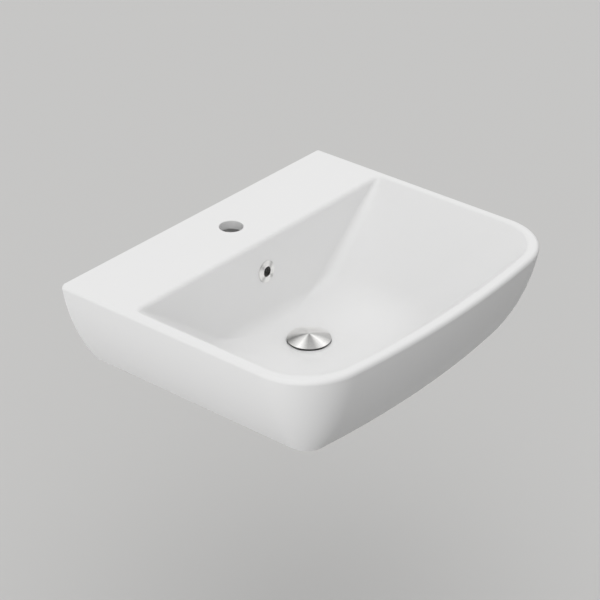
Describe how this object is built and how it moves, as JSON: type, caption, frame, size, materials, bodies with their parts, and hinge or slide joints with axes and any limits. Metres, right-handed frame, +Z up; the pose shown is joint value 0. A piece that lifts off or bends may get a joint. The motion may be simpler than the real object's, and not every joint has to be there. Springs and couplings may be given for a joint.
{
  "type": "wall-hung basin",
  "caption": "Wall-hung ceramic basin with a flat tap deck, a sloping bowl, an overflow trim and a push plug on a slotted waste.",
  "frame": {"origin": "on the wall plane, midway between the two wall bolts", "axes": "+Z up, +Y into the wall, -Y towards the person at the basin, +X to the right when facing the wall"},
  "size_m": [0.55, 0.522, 0.215],
  "materials": {
    "glazed_ceramic": "smooth satin white glaze",
    "brushed_trim": "turned and brushed in rings",
    "black_rubber": "moulded black rubber",
    "white_rubber": "moulded white rubber",
    "black_plastic": "moulded black plastic",
    "white_plastic": "moulded white nylon",
    "stainless": "drawn stainless steel",
    "brass": "turned brass",
    "chromed_brass": "chromed turned brass",
    "zinc_steel": "bright zinc plated steel"
  },
  "bodies": {
    "basin": {"basin_body": "glazed_ceramic", "overflow_ring": "brushed_trim", "overflow_gasket": "black_rubber", "overflow_insert": "black_plastic", "cartridge_sleeve": "brass", "stem_seal": "black_rubber", "track_pin": "stainless", "cartridge_plug": "brass", "cartridge_spring": "stainless", "waste_body": "chromed_brass", "flange_gasket": "white_rubber", "cone_washer": "black_rubber", "slip_washer": "white_plastic", "back_nut": "brass", "hanger_bolts": "zinc_steel", "fixing_bushes": "white_plastic", "fixing_washers": "zinc_steel", "fixing_nuts": "zinc_steel"},
    "plug": {"waste_cap": "brushed_trim", "cap_seal": "black_rubber", "stem": "stainless"}
  },
  "joints": [
    {"name": "plug_slide", "type": "slide", "parent": "basin", "child": "plug", "axis": [0, 0, 1], "range_m": [0, 0.008], "deforming": ["cartridge_spring"]}
  ]
}
